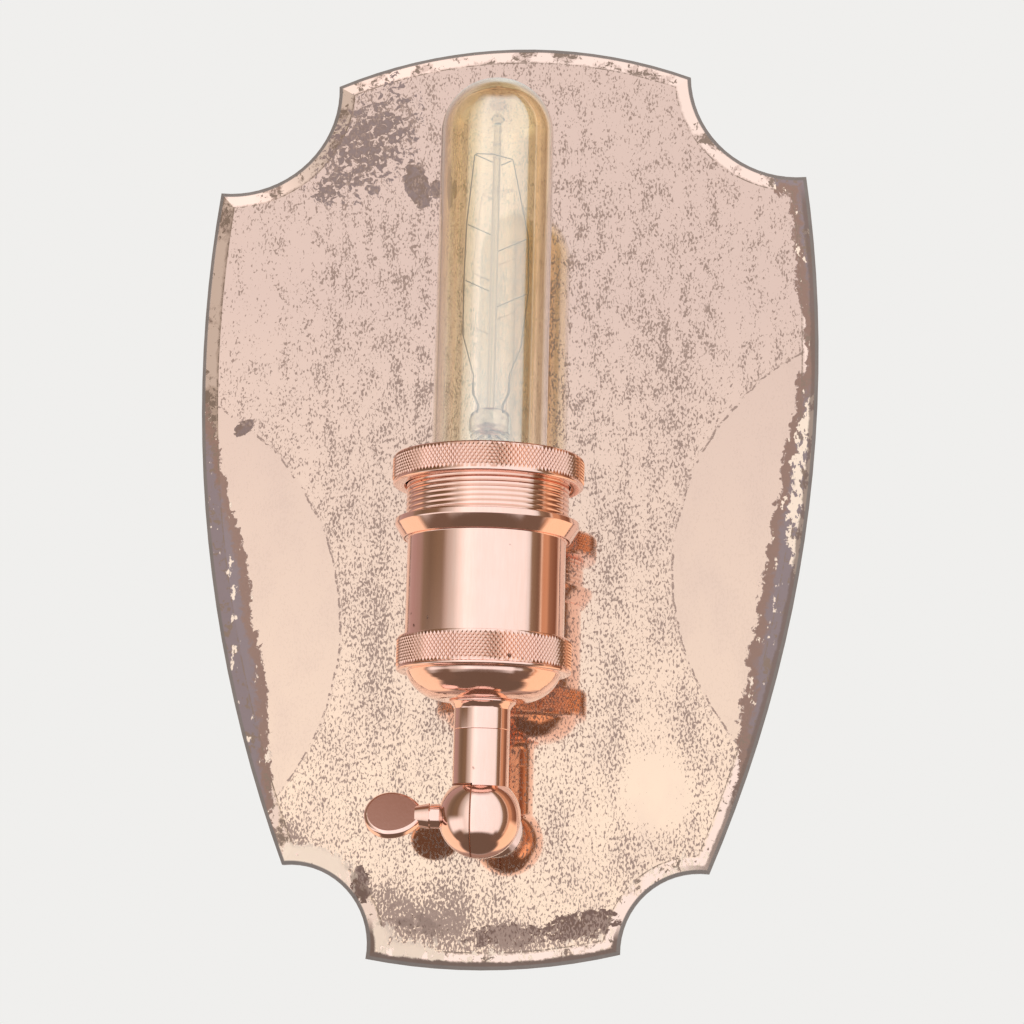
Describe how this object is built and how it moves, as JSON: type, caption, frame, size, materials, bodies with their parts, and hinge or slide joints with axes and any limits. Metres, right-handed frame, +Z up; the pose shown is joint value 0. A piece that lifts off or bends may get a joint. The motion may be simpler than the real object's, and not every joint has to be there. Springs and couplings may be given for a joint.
{
  "type": "mirrored wall light",
  "caption": "Wall light with a bevelled shield-shaped mirror and a bare tubular lamp in a knurled copper lampholder that tilts on a split-ball knuckle.",
  "frame": {"origin": "on the wall plane, midway between the two keyholes of the hanging strap", "axes": "+Z up, +Y into the wall, +X to the viewer's right; the light faces -Y"},
  "size_m": [0.1776, 0.11, 0.2672],
  "materials": {
    "aged_mirror": "bevelled, foxed and desilvered at the edges",
    "plywood": "sanded, unpainted",
    "softwood": "planed",
    "zinc_plated_steel": "bright zinc",
    "nylon": "moulded",
    "black_rubber": "matt",
    "copper_plate": "polished copper plating on brass",
    "raw_brass": "turned and pressed",
    "white_polyamide": "moulded",
    "brown_insulation": "extruded",
    "blue_insulation": "extruded",
    "green_insulation": "extruded, green with a yellow stripe",
    "porcelain": "glazed white",
    "tin_solder": "dull solder",
    "black_vitrite": "moulded glass",
    "nickelled_brass": "rolled thread",
    "amber_glass": "amber tinted, clear",
    "clear_glass": "drawn",
    "tungsten": "drawn wire"
  },
  "bodies": {
    "wall_frame": {"mirror_glass": "aged_mirror", "back_panel": "plywood", "left_stile": "softwood", "right_stile": "softwood", "top_rail": "softwood", "bottom_rail": "softwood", "hanging_strap": "zinc_plated_steel", "strap_screws": "zinc_plated_steel", "wall_nipple": "zinc_plated_steel", "glass_bush": "nylon", "glass_gasket": "black_rubber", "standoff_tube": "copper_plate", "wall_washer": "zinc_plated_steel", "earth_tag": "raw_brass", "lock_washer": "zinc_plated_steel", "wall_nut": "zinc_plated_steel", "terminal_block": "white_polyamide", "terminal_inserts": "raw_brass", "terminal_screws": "zinc_plated_steel", "block_screws": "zinc_plated_steel", "live_wire": "brown_insulation", "neutral_wire": "blue_insulation", "earth_wire": "green_insulation", "knuckle_rear_half": "copper_plate", "friction_washer": "nylon"},
    "thumbscrew": {"thumbscrew": "copper_plate"},
    "lamp_head": {"knuckle_stem_half": "copper_plate", "stem_nipple": "zinc_plated_steel", "stem_coupling": "copper_plate", "cap_nut": "zinc_plated_steel", "lampholder_cap": "copper_plate", "lampholder_body": "copper_plate", "porcelain_core": "porcelain", "holder_screws": "raw_brass", "screw_shell": "raw_brass", "centre_contact": "raw_brass", "head_live_wire": "brown_insulation", "head_neutral_wire": "blue_insulation"},
    "shade_seat": {"shade_seat_ring": "copper_plate"},
    "shade_clamp": {"shade_clamp_ring": "copper_plate"},
    "lamp_foot": {"bulb_base_contact": "tin_solder"},
    "lamp": {"bulb_insulator": "black_vitrite", "bulb_screw_cap": "nickelled_brass", "bulb_glass": "amber_glass", "bulb_stem": "clear_glass", "bulb_support_rod": "clear_glass", "lead_wires": "tungsten", "filament": "tungsten", "filament_supports": "tungsten"}
  },
  "joints": [
    {"name": "knuckle_tilt", "type": "hinge", "parent": "wall_frame", "child": "lamp_head", "pos_m": [0, -0.085, -0.1617], "axis": [1, 0, 0], "range_deg": [-10, 190]},
    {"name": "thumbscrew_turn", "type": "hinge", "parent": "wall_frame", "child": "thumbscrew", "pos_m": [0, -0.085, -0.1617], "axis": [-1, 0, 0], "range_deg": [0, 360]},
    {"name": "shade_seat_slide", "type": "slide", "parent": "lamp_head", "child": "shade_seat", "axis": [0, 0, 1], "range_m": [0, 0.004]},
    {"name": "shade_clamp_slide", "type": "slide", "parent": "lamp_head", "child": "shade_clamp", "axis": [0, 0, 1], "range_m": [-0.0045, 0.01]},
    {"name": "lamp_rise", "type": "slide", "parent": "lamp_head", "child": "lamp_foot", "axis": [0, 0, 1], "range_m": [0, 0.0218]},
    {"name": "lamp_turn", "type": "hinge", "parent": "lamp_foot", "child": "lamp", "pos_m": [0, -0.085, -0.1017], "axis": [0, 0, 1], "range_deg": [0, 2160]}
  ],
  "couplings": [
    {"joint": "lamp_rise", "follows": "lamp_turn", "m_per_rad": 0.0005776}
  ]
}
